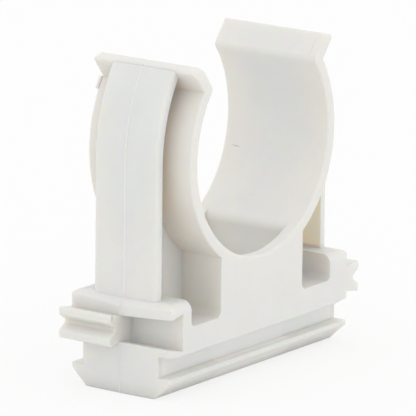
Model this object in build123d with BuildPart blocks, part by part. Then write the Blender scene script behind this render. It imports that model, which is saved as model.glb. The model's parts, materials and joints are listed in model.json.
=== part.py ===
"""Snap-in pipe clip for a 26 mm pipe, moulded in one piece.

X runs across the jaws, Y along the pipe and Z up. The origin is the middle of the
foot's underside. Millimetres throughout.

The mould opens along Y, to the front and to the back, so every section below is drawn
as the side view that the mould shuts off, and the parting plane is Y = 0.
"""
from build123d import *
from math import acos, atan2, cos, degrees, radians, sin, sqrt, tan
import os

# Pipe seat
pipe_diameter = 26.0
arm_wall = 1.35
mouth_width = 20.0
seat_height = 26.95
clip_width = 14.5

# Lead-in lips above the mouth
lip_angle = 52.0
lip_length = 3.6
lip_thickness = 1.5
lip_overhang = 0.6
lip_edge_radius = 0.35
lip_end_radius = 0.35
round_lip_end_radius = 1.2
waist_radius = 0.8
rim_bevel = 0.12

# Pedestal that carries the seat
pedestal_width = 16.2
pedestal_root_radius = 0.8
screw_well_wall = 1.4
screw_well_rim = 1.5
screw_well_floor = 7.0
screw_well_edge_radius = 1.5
screw_hole_diameter = 5.5

# Base block with a raised ledge at each end
base_length = 35.7
end_draft = 1.5
base_corner_radius = 0.5
block_underside = 5.05
pocket_floor = 8.1
pocket_corner_radius = 0.7
ledge_top = 11.2
ledge_inner_x = 13.9
ledge_outer_radius = 1.2
ledge_inner_radius = 0.6

# Rail foot below the block
neck_width = 10.6
foot_width = 13.9
foot_bottom_width = 9.6
foot_chamfer_height = 2.0
foot_top = 2.5
foot_edge_radius = 0.25
foot_sole_radius = 1.5
foot_end_radius = 0.7

# Side straps that hold the lips
strap_span = 34.2
strap_thickness = 1.35
strap_width = 8.8
strap_draft = 1.5
strap_lip_cover = 0.15
strap_edge_radius = 0.4

# Rib in the parting plane between pedestal, arm and strap
rib_thickness = 3.2
rib_top = 20.0

# Snap couplers, a plug on one half of each end and a socket on the other
coupler_root_low = 6.1
coupler_root_high = 9.05
coupler_reach = 2.1
coupler_flare = 0.45
coupler_tip_radius = 0.3
groove_depth = 1.4
groove_mouth = 1.9
groove_root_radius = 0.35
coupler_clearance = 0.1
socket_roof_rise = 0.4
socket_lip_corner = 1.2
block_bevel_length = 2.9
block_bevel_height = 0.35

# Gate mark left by the mould on the back of one arm
gate_mark_length = 1.5
gate_mark_height = 0.4
gate_mark_depth = 1.1

# How near an edge or a corner lies to the place that it is picked by
pick_tolerance = 0.01

# Values worked out from the sizes above
pipe_radius = pipe_diameter / 2
arm_radius = pipe_radius + arm_wall
half_width = clip_width / 2
half_mouth = mouth_width / 2
seat_bottom = seat_height - pipe_radius
waist_rise = sqrt(pipe_radius**2 - half_mouth**2)
waist = Vector(half_mouth, seat_height + waist_rise)
lip_along = Vector(cos(radians(lip_angle)), sin(radians(lip_angle)))
lip_across = Vector(sin(radians(lip_angle)), -cos(radians(lip_angle)))
lip_inner_tip = waist + lip_along * lip_length
lip_outer_tip = waist + lip_along * (lip_length + lip_overhang) + lip_across * lip_thickness
tip_across = (lip_outer_tip - lip_inner_tip).normalized()
half_base = base_length / 2
overlap = 0.5


def lip_root():
    """The point where the underside of the lip meets the outside of the arm."""
    start = waist + lip_across * lip_thickness - Vector(0, seat_height)
    along = start.dot(lip_along)
    return waist + lip_across * lip_thickness + lip_along * (
        sqrt(along**2 - start.dot(start) + arm_radius**2) - along
    )


# Jaw, lips and pedestal share one side view
seat_centre = (0, seat_height)
waist_angle = degrees(acos(half_mouth / pipe_radius))
lip_root_point = lip_root()
lip_root_angle = degrees(acos(lip_root_point.X / arm_radius))
pedestal_angle = degrees(acos(pedestal_width / 2 / arm_radius))

with BuildPart() as jaw:
    with BuildSketch(Plane.XZ) as jaw_side:
        with BuildLine():
            seat = CenterArc(seat_centre, pipe_radius, -90, 90 + waist_angle)
            Polyline(seat @ 1, lip_inner_tip, lip_outer_tip, lip_root_point)
            outside = CenterArc(seat_centre, arm_radius, lip_root_angle, -lip_root_angle - pedestal_angle)
            Polyline(outside @ 1, (pedestal_width / 2, block_underside), (0, block_underside), seat @ 0)
        make_face()
        mirror(about=Plane.YZ)
        waists = jaw_side.vertices().filter_by(lambda v: abs(abs(v.X) - half_mouth) < pick_tolerance)
        fillet(waists, waist_radius)
    extrude(amount=half_width, both=True)
    lip_ends = jaw.faces().filter_by(lambda f: f.normal_at().Z > 0.5 and f.center().Z > lip_outer_tip.Y)
    fillet(lip_ends.edges().filter_by(Axis.Y), lip_edge_radius)
    rims = jaw.faces().filter_by(Axis.Y).edges().filter_by(lambda e: e.center().Z > seat_bottom)
    chamfer(rims, rim_bevel)

# Both lips are rounded off at their ends, the left one more at its front
tip_plane = Plane(
    origin=(lip_inner_tip.X, 0, lip_inner_tip.Y),
    x_dir=(0, 1, 0),
    z_dir=(tip_across.X, 0, tip_across.Y),
)


def lip_rounding(radius):
    """What is rounded off the end of a lip, seen square to the face at its tip."""
    with BuildPart() as rounding:
        with BuildSketch(tip_plane):
            with BuildLine():
                inset = half_width - radius
                end_arc = CenterArc((inset, -radius), radius, 0, 90)
                Polyline(
                    end_arc @ 1,
                    (inset, overlap),
                    (clip_width, overlap),
                    (clip_width, -radius),
                    end_arc @ 0,
                )
            make_face()
        extrude(amount=2 * lip_thickness, both=True)
    return rounding.part


# Base: side view, end view and plan cut one from another
with BuildPart() as base:
    with BuildSketch(Plane.XZ) as base_side:
        with Locations((0, 0)):
            Rectangle(base_length, ledge_top, align=(Align.CENTER, Align.MIN))
        outer_corners = base_side.vertices()
        fillet(outer_corners.group_by(Axis.Y)[-1], ledge_outer_radius)
        fillet(outer_corners.group_by(Axis.Y)[0], foot_end_radius)
        with Locations((0, pocket_floor)):
            Rectangle(
                2 * ledge_inner_x,
                ledge_top - pocket_floor,
                align=(Align.CENTER, Align.MIN),
                mode=Mode.SUBTRACT,
            )
        gap_corners = base_side.vertices().filter_by(
            lambda v: abs(abs(v.X) - ledge_inner_x) < pick_tolerance
        )
        fillet(gap_corners.group_by(Axis.Y)[0], pocket_corner_radius)
        fillet(gap_corners.group_by(Axis.Y)[-1], ledge_inner_radius)
    extrude(amount=half_width, both=True)

    foot_tip = foot_width / 2
    with BuildSketch(Plane.YZ) as base_end:
        with BuildLine():
            Polyline(
                (0, 0),
                (foot_bottom_width / 2, 0),
                (foot_tip, foot_chamfer_height),
                (foot_tip, foot_top),
                (neck_width / 2, foot_top),
                (neck_width / 2, block_underside),
                (half_width, block_underside),
                (half_width, ledge_top),
                (0, ledge_top),
                close=True,
            )
        make_face()
        mirror(about=Plane.YZ)
        corners = base_end.vertices()
        fillet(corners.group_by(Axis.Y)[-1], ledge_outer_radius)
        fillet(corners.group_by(Axis.Y)[0], foot_sole_radius)
        fillet(corners.filter_by(lambda v: abs(abs(v.X) - foot_tip) < pick_tolerance), foot_edge_radius)
    extrude(amount=half_base, both=True, mode=Mode.INTERSECT)

    end_setback = half_width * tan(radians(end_draft))
    with BuildSketch() as base_plan:
        with BuildLine():
            Polyline(
                (half_base, 0),
                (half_base - end_setback, half_width),
                (end_setback - half_base, half_width),
                (-half_base, 0),
                (end_setback - half_base, -half_width),
                (half_base - end_setback, -half_width),
                close=True,
            )
        make_face()
        fillet(base_plan.vertices().filter_by(lambda v: abs(v.Y) > half_width / 2), base_corner_radius)
    extrude(amount=ledge_top, mode=Mode.INTERSECT)

# One strap: a section with the mould's draft, run straight up and then bowed over to the lip
strap_foot_z = ledge_top - ledge_outer_radius
strap_outer_x = strap_span / 2
strap_inner_x = strap_outer_x - strap_thickness
strap_tip = lip_outer_tip + tip_across * strap_lip_cover
bow_rise = strap_tip.Y - seat_height
bow_run = strap_outer_x - strap_tip.X
bow_radius = (bow_rise**2 + bow_run**2) / (2 * bow_run)
bow_angle = degrees(atan2(bow_rise, bow_radius - bow_run))

with BuildPart() as strap:
    draw_in = strap_width / 2 * tan(radians(strap_draft))
    with BuildSketch(Plane.XY.offset(seat_height)) as strap_section:
        with BuildLine():
            Polyline(
                (strap_outer_x, 0),
                (strap_outer_x - draw_in, strap_width / 2),
                (strap_inner_x + draw_in, strap_width / 2),
                (strap_inner_x, 0),
                close=True,
            )
        make_face()
        mirror(about=Plane.XZ)
        fillet(strap_section.vertices().group_by(Axis.X)[-2], strap_edge_radius)
    extrude(amount=strap_foot_z - seat_height)
    bow_axis = Axis((strap_outer_x - bow_radius, 0, seat_height), (0, -1, 0))
    revolve(strap_section.sketch, axis=bow_axis, revolution_arc=bow_angle)

# Rib, cut back to the middle of the arm's wall
with BuildPart() as rib:
    rib_inner = pedestal_width / 2 - overlap
    rib_outer = (strap_span - strap_thickness) / 2
    rib_foot = pocket_floor - overlap
    with BuildSketch(Plane.XZ):
        with Locations((rib_inner, rib_foot)):
            Rectangle(rib_outer - rib_inner, rib_top - rib_foot, align=(Align.MIN, Align.MIN))
        with Locations(seat_centre):
            Circle(pipe_radius + arm_wall / 2, mode=Mode.SUBTRACT)
    extrude(amount=rib_thickness / 2, both=True)

# Coupler plug: a flared tongue, split by a groove so that its two lips can spring
coupler_middle = (coupler_root_low + coupler_root_high) / 2
coupler_root_half = (coupler_root_high - coupler_root_low) / 2
coupler_tip_half = coupler_root_half + coupler_flare
end_face_x = half_base - end_setback
plug_tip_x = end_face_x + coupler_reach


def tongue(heel, reach, gap, rise=0):
    """Flared outline from the end face: back by the heel, out by the reach, wider by the gap."""
    floor_z = coupler_middle - coupler_root_half - gap
    roof_z = coupler_middle + coupler_root_half + gap + rise
    Polyline(
        (end_face_x - heel, floor_z),
        (end_face_x, floor_z),
        (end_face_x + reach, floor_z - coupler_flare),
        (end_face_x + reach, roof_z + coupler_flare),
        (end_face_x, roof_z),
        (end_face_x - heel, roof_z),
        close=True,
    )


with BuildPart() as plug:
    with BuildSketch(Plane.XZ) as plug_side:
        with BuildLine():
            tongue(overlap, coupler_reach, 0)
        make_face()
        with BuildLine():
            Polyline(
                (plug_tip_x - groove_depth, coupler_middle),
                (plug_tip_x, coupler_middle + groove_mouth / 2),
                (plug_tip_x, coupler_middle - groove_mouth / 2),
                close=True,
            )
        make_face(mode=Mode.SUBTRACT)
        plug_tips = plug_side.vertices().filter_by(lambda v: abs(v.X - plug_tip_x) < pick_tolerance)
        fillet(plug_tips, coupler_tip_radius)
        groove_root = plug_side.vertices().sort_by_distance((plug_tip_x - groove_depth, coupler_middle))[0]
        fillet(groove_root, groove_root_radius)
    extrude(amount=half_width)

# Coupler socket: the same tongue, with clearance, sunk into the other half of the end. The
# mould's core leaves it towards the open side, so its roof rises that way.
with BuildPart() as socket:
    for depth, rise in ((0, 0), (half_width, socket_roof_rise)):
        with BuildSketch(Plane.XZ.offset(-depth)):
            with BuildLine():
                tongue(-overlap, -coupler_reach - coupler_clearance, coupler_clearance, rise)
            make_face()
    loft(ruled=True)

# The lip under the socket has a rounder corner than the rest of the block
lip_corner_x = end_face_x - socket_lip_corner * (1 - tan(radians(end_draft)))
lip_corner_y = half_width - socket_lip_corner
with BuildPart() as lip_corner:
    with BuildSketch(Plane.XY.offset(block_underside)):
        with BuildLine():
            corner_arc = CenterArc((lip_corner_x, lip_corner_y), socket_lip_corner, 0, 90)
            Polyline(
                corner_arc @ 1,
                (lip_corner_x, half_base),
                (half_base, half_base),
                (half_base, lip_corner_y),
                corner_arc @ 0,
            )
        make_face()
    extrude(amount=coupler_middle - block_underside)

# Well for the screw's head, hollowed out of the pedestal inside an even wall
with BuildPart() as screw_well:
    with BuildSketch(Plane.XY.offset(screw_well_floor)):
        Rectangle(pedestal_width - 2 * screw_well_wall, clip_width - 2 * screw_well_rim)
    extrude(amount=seat_height - screw_well_floor)

# Bevel under each plug's half of the block
with BuildPart() as block_bevel:
    bevel_end = half_base + overlap
    bevel_rise = block_bevel_height * (bevel_end - half_base + block_bevel_length) / block_bevel_length
    with BuildSketch(Plane.XZ.offset(neck_width / 2)):
        with BuildLine():
            Polyline(
                (half_base - block_bevel_length, block_underside),
                (bevel_end, block_underside),
                (bevel_end, block_underside + bevel_rise),
                close=True,
            )
        make_face()
    extrude(amount=clip_width / 2)

# Gate mark on the back of one arm, in the corner under the lip
gate_mark_angle = 180 - lip_root_angle + degrees(gate_mark_length / 2 / arm_radius)
with BuildPart() as gate_mark:
    with BuildSketch(Plane.XZ.offset(-half_width)):
        with Locations(seat_centre):
            with PolarLocations(arm_radius - gate_mark_depth / 2, 1, start_angle=gate_mark_angle):
                Rectangle(gate_mark_depth, gate_mark_length)
    extrude(amount=-gate_mark_height)

# The whole clip
with BuildPart() as pipe_clip:
    add(jaw.part)
    back_right = lip_rounding(lip_end_radius)
    add(back_right, mode=Mode.SUBTRACT)
    add(back_right.mirror(Plane.YZ), mode=Mode.SUBTRACT)
    add(back_right.mirror(Plane.XZ), mode=Mode.SUBTRACT)
    with Locations(Rotation(0, 0, 180)):
        add(lip_rounding(round_lip_end_radius), mode=Mode.SUBTRACT)
    add(base.part)
    pedestal_roots = pipe_clip.edges().filter_by(Axis.Y).filter_by(
        lambda e: abs(abs(e.center().X) - pedestal_width / 2) < pick_tolerance
        and abs(e.center().Z - pocket_floor) < pick_tolerance
    )
    fillet(pedestal_roots, pedestal_root_radius)
    add(strap.part)
    add(strap.part.mirror(Plane.YZ))
    add(rib.part)
    add(rib.part.mirror(Plane.YZ))
    with PolarLocations(0, 2):
        add(plug.part)
        add(socket.part, mode=Mode.SUBTRACT)
        add(lip_corner.part, mode=Mode.SUBTRACT)
        add(block_bevel.part, mode=Mode.SUBTRACT)
    add(screw_well.part, mode=Mode.SUBTRACT)
    well_half = pedestal_width / 2 - screw_well_wall
    well_mouth = pipe_clip.edges().filter_by(Axis.Y).filter_by(
        lambda e: abs(abs(e.center().X) - well_half) < pick_tolerance and e.center().Z > ledge_top
    )
    fillet(well_mouth, screw_well_edge_radius)
    with Locations((0, 0, screw_well_floor)):
        Hole(screw_hole_diameter / 2)
    add(gate_mark.part)

pipe_clip.part.label = "pipe_clip"

os.makedirs("parts", exist_ok=True)
export_step(pipe_clip.part, "parts/pipe_clip.step")
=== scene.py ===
# %% [markdown]
# A snap-in pipe clip, moulded in one shot of white polypropylene. Its shape could be drawn
# again here, but the imported model has it to about a hundredth of a millimetre. So it is
# loaded first and stays as it is, and everything else has to fit it. Its box is kept and printed.

# %% Load the frame
import json
import math

import bmesh
import bpy
from mathutils import Matrix, Vector


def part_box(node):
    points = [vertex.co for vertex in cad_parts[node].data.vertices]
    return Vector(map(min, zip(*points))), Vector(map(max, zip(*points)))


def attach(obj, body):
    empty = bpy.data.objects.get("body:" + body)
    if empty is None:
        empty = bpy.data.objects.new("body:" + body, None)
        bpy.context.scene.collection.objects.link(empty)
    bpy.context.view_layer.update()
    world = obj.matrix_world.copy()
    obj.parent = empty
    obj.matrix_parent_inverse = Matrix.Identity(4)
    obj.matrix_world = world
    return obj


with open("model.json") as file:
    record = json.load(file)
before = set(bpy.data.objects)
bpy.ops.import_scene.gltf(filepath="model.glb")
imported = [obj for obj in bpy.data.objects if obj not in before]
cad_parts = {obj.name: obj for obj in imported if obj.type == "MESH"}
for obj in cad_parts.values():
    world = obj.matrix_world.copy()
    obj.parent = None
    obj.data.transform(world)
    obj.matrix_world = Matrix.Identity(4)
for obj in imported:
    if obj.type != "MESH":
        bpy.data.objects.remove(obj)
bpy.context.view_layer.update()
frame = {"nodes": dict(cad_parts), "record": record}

MM = 0.001
clip_node = frame["nodes"]["pipe_clip"]
clip_low, clip_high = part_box("pipe_clip")
print("clip, mm:", [round(side / MM, 2) for side in clip_high - clip_low])

# %% [markdown]
# Some painted light and shade belongs to one part of the clip only, such as the painted glow
# inside its straps. It could be painted on by hand, but a few heights and distances find these parts
# just as well.
# The seat is a mount, so its lowest point comes from the frame. The other sizes are those
# that the clip was modelled with. All are measured from the middle of the foot's underside.

# %% Sizes of the moulding
seat = {mount["name"]: mount for mount in frame["record"]["mounts"]}["pipe_seat"]
seat_bottom = seat["pos_m"][2] - seat["dims"]["r_mm"] * MM
foot_top = 2.5 * MM
block_underside = 5.05 * MM
ledge_top = 11.2 * MM
arm_x = 14.4 * MM
end_face_x = 17.4 * MM
plug_root_x = 17.95 * MM
print("seat's lowest point, mm:", round(seat_bottom / MM, 2))


# %% [markdown]
# Colours are easiest to choose as they look on a screen, which is what a hex colour says,
# but Blender's shaders reckon with linear light. The values could be converted by hand, and
# then nobody could read them. One function turns the first kind into the second.

# %% Colour helper
def linear(hex_colour):
    """An sRGB hex colour as linear red, green, blue and alpha."""
    channels = [int(hex_colour[i : i + 2], 16) / 255 for i in (1, 3, 5)]
    return [c / 12.92 if c <= 0.04045 else ((c + 0.055) / 1.055) ** 2.4 for c in channels] + [1]


print("test grey:", [round(c, 3) for c in linear("#808080")])


# %% [markdown]
# A material is a graph of nodes. Added one line at a time, a graph is long to read. This
# helper adds one node, sets its values and joins its inputs in a single call. An input is
# named, or numbered with a line before it where several inputs share a name.

# %% Node helper
def node(tree, kind, settings=None, **inputs):
    """Adds a node. An input is a value, or an output socket of another node."""
    made = tree.nodes.new(kind)
    for name, value in (settings or {}).items():
        setattr(made, name, value)
    for name, value in inputs.items():
        key = int(name[1:]) if name[1:].isdigit() else name.replace("_", " ")
        socket = made.inputs[key]
        if isinstance(value, bpy.types.NodeSocket):
            tree.links.new(value, socket)
        else:
            socket.default_value = value
    return made


# %% [markdown]
# Three kinds of node do most of the work below: one reckons with numbers, one turns a span
# of values into another, which makes soft masks, and one mixes two colours. Each gets a
# short form of its own, which hands back the socket to go on with.

# %% Short forms
def maths(tree, operation, *values, **settings):
    """One sum over values or sockets, such as MULTIPLY or MAXIMUM."""
    inputs = {f"_{place}": value for place, value in enumerate(values)}
    return node(tree, "ShaderNodeMath", {"operation": operation, **settings}, **inputs).outputs[0]


def ramp(tree, value, low, high, at_low=0.0, at_high=1.0, kind="LINEAR"):
    """Goes from one result to another while the value goes from low to high."""
    settings = {"interpolation_type": kind}
    spans = {"_0": value, "_1": low, "_2": high, "_3": at_low, "_4": at_high}
    return node(tree, "ShaderNodeMapRange", settings, **spans).outputs[0]


def blend(tree, share, first, second):
    """Mixes two colours, each a hex colour or a socket, by the second one's share."""
    first, second = [linear(c) if isinstance(c, str) else c for c in (first, second)]
    return node(tree, "ShaderNodeMix", {"data_type": "RGBA"}, _0=share, _6=first, _7=second).outputs[2]


print("short forms:", maths.__name__, ramp.__name__, blend.__name__)

# %% [markdown]
# The photograph was taken with a long lens, a little above the clip and from its left, so
# the clip hardly tapers with distance. Aimed by eye, a camera would put no edge quite where
# the photograph has it. This one is set by measured values instead: the point that it stands
# at, its two angles, a small roll, and its lens in millimetres on a 36 mm sensor.

# %% Camera
camera_azimuth = math.radians(-54.361)
camera_elevation = math.radians(13.512)
camera_roll = math.radians(0.676)
camera_place = Vector((-551.168, -394.567, 181.279)) * MM
photo_side, focal_length = 416, 6000  # in the photograph's pixels

camera_data = bpy.data.cameras.new("photo_camera")
camera_data.sensor_width = 36
camera_data.lens = focal_length * camera_data.sensor_width / photo_side
camera_data.clip_start = 0.05
camera_data.clip_end = 20
camera = bpy.data.objects.new("photo_camera", camera_data)
bpy.context.scene.collection.objects.link(camera)
camera.matrix_world = (
    Matrix.Translation(camera_place)
    @ Matrix.Rotation(camera_azimuth, 4, "Z")
    @ Matrix.Rotation(math.pi / 2 - camera_elevation, 4, "X")
    @ Matrix.Rotation(camera_roll, 4, "Z")
)
bpy.context.scene.camera = camera
print("lens:", round(camera_data.lens, 1), "mm, distance:", round(camera_place.length, 3), "m")

# %% [markdown]
# White plastic is photographed in a light tent, a box of white cloth that lights it from all
# sides almost evenly, so that it is shaded by its own hollows more than by any one lamp. A
# ring of lamps could stand in for the cloth, but the world is simpler and surrounds
# everything. It is a little brighter overhead and a little dimmer on the left, which is a
# dot product of the ray's direction with a short vector. Rays that come straight from the
# camera see a pure white world, and mirrored and refracted ones as well, which gives the
# photograph's clean background without lighting the clip.

# %% World light
world = bpy.data.worlds.new("light_tent")
bpy.context.scene.world = world
world.use_nodes = True
sky = world.node_tree
sky.nodes.clear()
direction = node(sky, "ShaderNodeTexCoord").outputs["Generated"]
brighter_side = (0.045, 0.0, 0.08)
lean = node(
    sky, "ShaderNodeVectorMath", {"operation": "DOT_PRODUCT"}, _0=direction, _1=brighter_side
)
level = maths(sky, "ADD", lean.outputs["Value"], 0.985)
fill = node(sky, "ShaderNodeBackground", Color=linear("#FFFFFF"), Strength=level)
backdrop = node(sky, "ShaderNodeBackground", Color=linear("#FFFFFF"), Strength=1.0)
ray = node(sky, "ShaderNodeLightPath").outputs
bounced = maths(sky, "MAXIMUM", ray["Is Glossy Ray"], ray["Is Transmission Ray"])
seen = maths(sky, "MAXIMUM", ray["Is Camera Ray"], bounced)
tent = node(sky, "ShaderNodeMixShader", _0=seen, _1=fill.outputs[0], _2=backdrop.outputs[0])
node(sky, "ShaderNodeOutputWorld", Surface=tent.outputs[0])
print("world nodes:", len(sky.nodes))


# %% [markdown]
# One large lamp in front of the clip lifts the front face a little. A spot or a point lamp
# would draw hard shadows on the base, and an area lamp that is large beside the thing that
# it lights draws soft ones. It is placed by an azimuth and an elevation, and turned to face
# the middle of the clip.

# %% Lamp
def soft_lamp(name, azimuth, elevation, distance, side, power):
    """A square white area lamp that faces the middle of the clip."""
    a, e = math.radians(azimuth), math.radians(elevation)
    out = Vector((math.sin(a) * math.cos(e), -math.cos(a) * math.cos(e), math.sin(e)))
    data = bpy.data.lights.new(name, "AREA")
    data.size = side
    data.energy = power
    lamp = bpy.data.objects.new(name, data)
    facing = out.to_track_quat("Z", "Y").to_matrix().to_4x4()
    lamp.matrix_world = Matrix.Translation((clip_low + clip_high) / 2 + out * distance) @ facing
    bpy.context.scene.collection.objects.link(lamp)


soft_lamp("front_light", azimuth=8, elevation=22, distance=0.50, side=0.36, power=0.05)
print("lamps:", [light.name for light in bpy.data.lights])

# %% [markdown]
# The clip stands on white paper. A plane is enough for that, because the paper's edge is out
# of the picture. It lies a hair under the foot, so that the two faces don't flicker into each
# other.

# %% Floor sheet
floor_side = 1.2
floor_gap = 0.02 * MM
floor_mesh = bpy.data.meshes.new("floor")
floor_form = bmesh.new()
bmesh.ops.create_grid(floor_form, x_segments=1, y_segments=1, size=floor_side / 2)
floor_form.to_mesh(floor_mesh)
floor_form.free()
floor = bpy.data.objects.new("floor", floor_mesh)
floor.location.z = -floor_gap
bpy.context.scene.collection.objects.link(floor)
print("floor side:", floor_side, "m")

# %% [markdown]
# In the photograph the paper is washed out to white. More light would do that and would also
# bleach the clip, so only the way in which the camera sees the paper changes: almost pure
# white, with a share of the matt paper that keeps the soft shadow round the foot. Mirrored
# and refracted rays see the same. Every other ray meets the matt paper alone, which throws
# light back up under the clip and goes dark where the foot stands on it.

# %% White background paper
shadow_share = 0.25
floor_paper = bpy.data.materials.new("white_background_paper")
floor_paper.use_nodes = True
paper = floor_paper.node_tree
paper.nodes.clear()
paper_ray = node(paper, "ShaderNodeLightPath").outputs
mirrored = maths(paper, "MAXIMUM", paper_ray["Is Glossy Ray"], paper_ray["Is Transmission Ray"])
looked_at = maths(paper, "MAXIMUM", paper_ray["Is Camera Ray"], mirrored)
washed = maths(paper, "MULTIPLY", looked_at, 1 - shadow_share)
matt = node(paper, "ShaderNodeBsdfDiffuse", Color=linear("#F4F4F3"))
bright = node(paper, "ShaderNodeEmission", Color=linear("#FFFFFF"), Strength=1.0)
shown = node(paper, "ShaderNodeMixShader", _0=washed, _1=matt.outputs[0], _2=bright.outputs[0])
node(paper, "ShaderNodeOutputMaterial", Surface=shown.outputs[0])
floor.data.materials.append(floor_paper)
print("paper nodes:", len(paper.nodes))

# %% [markdown]
# Polypropylene is a waxy, slightly see-through white. Light enters it and comes out a
# little further on, warmer than it went in, which softens edges and makes thin walls glow
# at their backs. A plain white surface would look like chalk beside it. Subsurface
# scattering gives the depth: the radius is the distance in millimetres that red, green and
# blue light travel. The surface was moulded against lightly eroded steel, so it is satin,
# with a grain of about a tenth of a millimetre, and with slow ripples where the melt
# shrank. These are the values that the rest of the script shares.

# %% Plastic's values
POLYPROPYLENE_IOR = 1.49
scatter_mm = (3.2, 1.7, 0.5)
grain_mm = 0.09
ripple_mm = 5.0
edge_mm = 0.18
hollow_mm = 7.0
print("scatter, mm:", scatter_mm)

# %% [markdown]
# The clip gets a material of its own, whose tint drifts a little with the ripples, as a
# moulding's does where it cooled at different speeds. In the hollows the white is painted
# deeper and warmer: painted shade, with a painted warm glow for light that has gone from wall
# to wall, since the light alone comes out too cold there. An ambient occlusion node finds the
# hollows by itself. It looks at the clip only, since the pale floor isn't a wall. The groove
# over the foot is left out of this painted shade, because the floor lights it.

# %% Tint and painted shade of hollows
polypropylene = bpy.data.materials.new("white_moulded_polypropylene")
polypropylene.use_nodes = True
pp = polypropylene.node_tree
pp.nodes.clear()
place = node(pp, "ShaderNodeTexCoord").outputs["Object"]
ripples = node(
    pp, "ShaderNodeTexNoise", Vector=place, Scale=1 / (ripple_mm * MM), Detail=3.0, Roughness=0.5
).outputs[0]
tint = blend(pp, ripples, "#E1E1DF", "#E8E8E6")
own_walls = {"samples": 8, "only_local": True}
openness = node(pp, "ShaderNodeAmbientOcclusion", own_walls, Distance=hollow_mm * MM).outputs["AO"]
# Painted shade: the deeper a hollow, the more its colour is darkened and warmed.
depth = ramp(pp, openness, 0.15, 0.75, 0.55, 0.0)
axes = node(pp, "ShaderNodeSeparateXYZ", _0=place).outputs
height = axes["Z"]
above_neck = ramp(pp, height, 4.5 * MM, 6.5 * MM)
painted_hollow_shade = maths(pp, "MULTIPLY", depth, above_neck)
print("tint nodes:", len(pp.nodes))

# %% [markdown]
# Not every hollow looks alike, and each gets a painted shade of its own. The pockets under
# the arms are blind and are painted darkest. The straps are thin, so light comes through them,
# and their inner faces get a painted warm glow. One tint for all would be either too dull or
# too light, so masks tell them apart: how far a point is from the middle, and how high it is.
# The clip is the same at both ends, and so the distance is taken without its sign.

# %% Masks of the straps, the plugs and the pockets
span = maths(pp, "ABSOLUTE", axes["X"])
past_arm = ramp(pp, span, arm_x, arm_x + 1.0 * MM)
over_ledge = ramp(pp, height, ledge_top, ledge_top + 0.4 * MM)
in_strap = maths(pp, "MULTIPLY", past_arm, over_ledge)
in_plug = ramp(pp, span, plug_root_x - 0.15 * MM, plug_root_x + 0.15 * MM)
over_pocket_floor = ramp(pp, height, 9.0 * MM, 14.0 * MM)
below_arm = ramp(pp, height, 17.0 * MM, 23.0 * MM, 1.0, 0.3)
under_arm = maths(pp, "MULTIPLY", over_pocket_floor, below_arm)
print("with the straps' masks:", len(pp.nodes))

# %% [markdown]
# The walls of the screw's well are thin too, and light comes down into it through the open
# seat, so it gets painted light, which keeps it whiter than the pockets. Its mask is a column
# inside the walls that ends at the seat.

# %% Mask of the well's painted light
# Painted light: inside the well the colour is mixed this far towards white.
well_painted_light = 0.6
breadth = maths(pp, "ABSOLUTE", axes["Y"])
between_faces = ramp(pp, breadth, 6.0 * MM, 6.5 * MM, well_painted_light, 0.0)
between_ends = ramp(pp, span, 6.8 * MM, 7.2 * MM, 1.0, 0.0)
under_seat = ramp(pp, height, seat_bottom - 1.0 * MM, seat_bottom + 1.0 * MM, 1.0, 0.0)
well_column = maths(pp, "MULTIPLY", between_faces, between_ends)
well_painted_light_share = maths(pp, "MULTIPLY", well_column, under_seat)
print("with the well's mask:", len(pp.nodes))

# %% [markdown]
# The neck between the block and the foot is the third thin wall. The foot's top and the
# paper light it from below, and it gets painted light for that. Its mask is a band between
# the two that stops short of the end faces, because those are full walls.

# %% Mask of the neck's painted light
# Painted light: on the neck the colour is mixed this far towards white.
neck_painted_light = 0.55
on_neck = ramp(pp, breadth, 5.4 * MM, 5.7 * MM, neck_painted_light, 0.0)
over_foot = ramp(pp, height, foot_top + 0.05 * MM, foot_top + 0.25 * MM)
under_block = ramp(pp, height, block_underside - 0.05 * MM, block_underside + 0.05 * MM, 1.0, 0.0)
short_of_end = ramp(pp, span, end_face_x - 0.7 * MM, end_face_x - 0.4 * MM, 1.0, 0.0)
neck_band = maths(pp, "MULTIPLY", over_foot, under_block)
neck_run = maths(pp, "MULTIPLY", on_neck, short_of_end)
neck_painted_light_share = maths(pp, "MULTIPLY", neck_run, neck_band)
thin_wall_painted_light = maths(pp, "MAXIMUM", well_painted_light_share, neck_painted_light_share)
print("with the neck's mask:", len(pp.nodes))

# %% [markdown]
# The masks now pick the colours. The hollows take their painted shade first, stronger inside
# the straps, where it is a painted warm glow, and in the plugs' grooves, and then the thin
# walls take their painted light. Last, the foot gets painted shade, darker and warmer towards
# its sole, where it stands on the paper. It is one chain of mixes, so that each step can be
# read and changed by itself.

# %% Painted shade of hollows and painted light of thin walls
# Painted shade in the hollows, darkest in the blind pockets under the arms, and a painted warm glow on
# the straps' inner faces.
hollow_shade_colour = blend(pp, under_arm, "#D6D4CA", "#ABA99B")
hollow = blend(pp, in_strap, hollow_shade_colour, "#FFF1D8")
strap_gain = maths(pp, "MULTIPLY_ADD", in_strap, 1.2, 1.0)
gain = maths(pp, "MULTIPLY_ADD", in_plug, 2.0, strap_gain)
hollow_shade_share = maths(pp, "MULTIPLY", painted_hollow_shade, gain, use_clamp=True)
shaded = blend(pp, hollow_shade_share, tint, hollow)
# Painted light: the well and the neck are mixed towards white.
painted_light_whitened = blend(pp, thin_wall_painted_light, shaded, "#F8F8F6")
# Painted shade: darker and warmer towards the sole, where the foot stands on the paper.
painted_contact_shade = ramp(pp, height, 0.0, 1.7 * MM, 0.35, 0.0)
body_colour = blend(pp, painted_contact_shade, painted_light_whitened, "#D2C5B2")
print("tint nodes:", len(pp.nodes))
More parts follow.
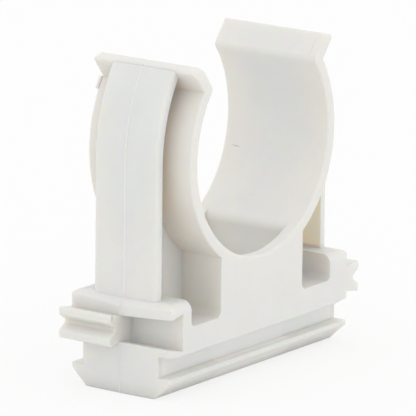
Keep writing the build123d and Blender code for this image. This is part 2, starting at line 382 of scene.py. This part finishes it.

# %% [markdown]
# The mould's edges are rounded by about a tenth of a millimetre, too fine for the mesh, and
# without that the plastic looks cut from card. A bevel node bends the normals there. It also
# gives a mask for free: the more the bent normal differs from the face's own, the nearer an
# edge is. A second, very short occlusion test tells outer edges from inner ones. On an outer
# edge the colour is painted whiter, a painted highlight for the light that the rounded edge catches.

# %% Edges of the moulding, with a painted highlight
rounded = node(pp, "ShaderNodeBevel", {"samples": 8}, Radius=edge_mm * MM).outputs[0]
flat = node(pp, "ShaderNodeNewGeometry").outputs["Normal"]
agree = node(pp, "ShaderNodeVectorMath", {"operation": "DOT_PRODUCT"}, _0=rounded, _1=flat)
bent = ramp(pp, agree.outputs["Value"], 0.75, 0.99, 1.0, 0.0)
nook = node(pp, "ShaderNodeAmbientOcclusion", own_walls, Distance=3 * edge_mm * MM).outputs["AO"]
outer = ramp(pp, nook, 0.75, 0.95, 0.0, 0.8)
# Painted highlight: outer edges are mixed towards a whiter colour.
painted_edge_highlight = maths(pp, "MULTIPLY", bent, outer)
edge_highlighted_colour = blend(pp, painted_edge_highlight, body_colour, "#F9F9F7")
print("edge radius, mm:", edge_mm)


# %% [markdown]
# The moulding carries a few small dents, and their shade is painted in as dark streaks: in a
# faint crease on the right lip, in a small dimple inside the right jaw, and in a nick on the coupler's
# upper lip.
# Each is a short streak. A picture could carry them, but it would need a layout on the
# surface, and a mask needs none: it is the distance from a line through the streak's middle,
# faded towards both ends, and it stays on the surface when the clip turns.

# %% Streak mask
def streak(tree, place, middle_mm, along, length_mm, width_mm):
    """One inside a short streak and nought outside it, soft at its edges."""
    vector = "ShaderNodeVectorMath"
    middle = Vector(middle_mm) * MM
    along = Vector(along).normalized()
    offset = node(tree, vector, {"operation": "SUBTRACT"}, _0=place, _1=middle).outputs[0]
    run = node(tree, vector, {"operation": "DOT_PRODUCT"}, _0=offset, _1=along).outputs["Value"]
    rail = node(tree, vector, {"operation": "SCALE"}, _0=along, Scale=run).outputs[0]
    beside = node(tree, vector, {"operation": "SUBTRACT"}, _0=offset, _1=rail).outputs[0]
    distance = node(tree, vector, {"operation": "LENGTH"}, _0=beside).outputs["Value"]
    core = ramp(tree, distance, 0.0, width_mm / 2 * MM, 1.0, 0.0, "SMOOTHSTEP")
    reach = maths(tree, "ABSOLUTE", run)
    ends = ramp(tree, reach, 0.0, length_mm / 2 * MM, 1.0, 0.0, "SMOOTHSTEP")
    return maths(tree, "MULTIPLY", core, ends)


print("streak mask ready")

# %% [markdown]
# The streaks darken the colour as painted shade. Their places were read off the photograph
# along the camera's lines of sight, in millimetres. Each row gives the middle, the direction,
# the length, the width and how strongly the mark shows.

# %% Painted shade of the moulding's dents
lip_crease_shade = ((11.08, -6.22, 36.63), (0.61, -0.03, 0.79), 3.8, 0.24, 0.22)
jaw_dimple_shade = ((12.32, 5.45, 22.84), (0.0, -1.0, -0.07), 1.7, 0.30, 0.55)
plug_nick_shade = ((-19.36, 0.0, 9.05), (0.0, 0.0, 1.0), 1.3, 0.34, 0.70)
dent_shaded_colour = edge_highlighted_colour
# Painted shade: each streak darkens the colour towards grey brown.
for middle, along, length, width, strength in (lip_crease_shade, jaw_dimple_shade, plug_nick_shade):
    mask = streak(pp, place, middle, along, length, width)
    dent_shade_share = maths(pp, "MULTIPLY", mask, strength)
    dent_shaded_colour = blend(pp, dent_shade_share, dent_shaded_colour, "#A29E96")
print("nodes with the marks:", len(pp.nodes))

# %% [markdown]
# Last come the relief and the gloss. The grain is far finer than the mesh, so it is bump
# and not shape. Two bump nodes in a row add the grain of the eroded mould and the slow
# ripples on top of the rounded edges, and the gloss drifts with the ripples too.

# %% Relief and gloss
grain = node(
    pp, "ShaderNodeTexNoise", Vector=place, Scale=1 / (grain_mm * MM), Detail=2.0, Roughness=0.6
).outputs[0]
eroded = node(
    pp, "ShaderNodeBump", Strength=0.12, Distance=0.02 * MM, Height=grain, Normal=rounded
).outputs[0]
shrunk = node(
    pp, "ShaderNodeBump", Strength=0.15, Distance=0.15 * MM, Height=ripples, Normal=eroded
).outputs[0]
polish = ramp(pp, ripples, 0.3, 0.7, 0.40, 0.50)
plastic = node(
    pp, "ShaderNodeBsdfPrincipled",
    Base_Color=dent_shaded_colour, Roughness=polish, Normal=shrunk, IOR=POLYPROPYLENE_IOR,
    Subsurface_Weight=0.4, Subsurface_Radius=scatter_mm, Subsurface_Scale=MM,
)
node(pp, "ShaderNodeOutputMaterial", Surface=plastic.outputs[0])
clip_node.data.materials.clear()
clip_node.data.materials.append(polypropylene)
print("clip material:", clip_node.data.materials[0].name)

# %% [markdown]
# The two halves of the mould met in the plane Y = 0 and left a fine raised line there, the
# flash, down the outside of the straps and over the ends. It could be a thin cord along a
# curve, but the curve would have to be fitted to every bend. It follows the surface exactly
# if it is cut from it: a copy of the mesh is sliced on both sides of the plane, so that a
# narrow ribbon of the surface stays, and once more in the middle.

# %% Ribbon along the parting plane
flash_width_mm = 0.14
half_flash = flash_width_mm / 2 * MM

ribbon = bmesh.new()
ribbon.from_mesh(clip_node.data)
bmesh.ops.remove_doubles(ribbon, verts=ribbon.verts, dist=0.0002 * MM)
for y, side, clear in ((half_flash, 1, True), (-half_flash, -1, True), (0, 1, False)):
    bmesh.ops.bisect_plane(
        ribbon, geom=ribbon.verts[:] + ribbon.edges[:] + ribbon.faces[:], dist=0.0001 * MM,
        plane_co=(0, y, 0), plane_no=(0, side, 0), clear_outer=clear,
    )
print("ribbon faces:", len(ribbon.faces))

# %% [markdown]
# Only the outside of the clip shows the line. A face of the ribbon stays if it looks away
# from the middle of the clip, and below the ledge only if it lies on the end face. Where the
# strap meets the lip, a few slivers would be left over, and they go too.

# %% Keep the outer faces
arm_side_x = 12.5 * MM
lip_z, lip_x = 36 * MM, 13.2 * MM
dropped = []
for face in ribbon.faces:
    centre = face.calc_center_median()
    x = abs(centre.x)
    away = face.normal.x * (1 if centre.x > 0 else -1)
    outside = away > 0.45 and abs(face.normal.y) < 0.5 and arm_side_x < x < plug_root_x
    in_base = centre.z < ledge_top and x < end_face_x
    under_lip = centre.z > lip_z and x < lip_x
    if not outside or in_base or under_lip:
        dropped.append(face)
bmesh.ops.delete(ribbon, geom=dropped, context="FACES")
print("outer ribbon faces:", len(ribbon.faces))

# %% [markdown]
# A real flash is a low ridge with an edge, so the middle of the ribbon is lifted a little.
# Solidify then gives it an underside in the wall of the clip, so that it is a closed form
# and not a loose skin.

# %% Raise the flash
flash_height_mm = 0.04
flash_depth_mm = 0.03
ribbon.normal_update()
for vertex in ribbon.verts:
    if abs(vertex.co.y) < 0.001 * MM:
        vertex.co += vertex.normal * flash_height_mm * MM
bmesh.ops.solidify(ribbon, geom=ribbon.faces[:], thickness=flash_depth_mm * MM)
bmesh.ops.recalc_face_normals(ribbon, faces=ribbon.faces[:])
flash_mesh = bpy.data.meshes.new("parting_flash")
ribbon.to_mesh(flash_mesh)
ribbon.free()
flash = bpy.data.objects.new("parting_flash", flash_mesh)
bpy.context.scene.collection.objects.link(flash)
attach(flash, "root")
print("flash triangles:", sum(len(face.vertices) - 2 for face in flash_mesh.polygons))

# %% [markdown]
# The flash is the same plastic, but so thin that light doesn't spread in it and goes
# straight back. The clip's own material would turn it dark, because its scattering runs
# out of the thin form. So the flash has a lighter one with no subsurface scattering, painted
# lighter still on the straps as a painted highlight along the ridge. Below the ledge it is
# painted about as the clip's own white, and the line hardly shows.

# %% Thin flash of polypropylene, with a painted highlight
thin = bpy.data.materials.new("polypropylene_flash")
thin.use_nodes = True
film = thin.node_tree
film.nodes.clear()
film_place = node(film, "ShaderNodeTexCoord").outputs["Object"]
film_ripples = node(
    film, "ShaderNodeTexNoise", Vector=film_place, Scale=1 / (ripple_mm * MM), Detail=3.0
).outputs[0]
# Painted highlight: the flash is lighter on the straps than below the ledge.
strap_flash_highlight = blend(film, film_ripples, "#F0F0EE", "#F7F7F5")
film_height = node(film, "ShaderNodeSeparateXYZ", _0=film_place).outputs["Z"]
flash_highlight_share = ramp(film, film_height, ledge_top, ledge_top + 1.0 * MM)
film_colour = blend(film, flash_highlight_share, "#E5E5E2", strap_flash_highlight)
film_plastic = node(
    film, "ShaderNodeBsdfPrincipled", Base_Color=film_colour, Roughness=0.4, IOR=POLYPROPYLENE_IOR
)
node(film, "ShaderNodeOutputMaterial", Surface=film_plastic.outputs[0])
flash_mesh.materials.append(thin)
print("flash material:", thin.name)

# %% [markdown]
# A film look would bend the whites, and the photograph shows them plainly, so the view
# transform is Standard, which leaves the colours as they are.

bpy.context.scene.view_settings.view_transform = "Standard"
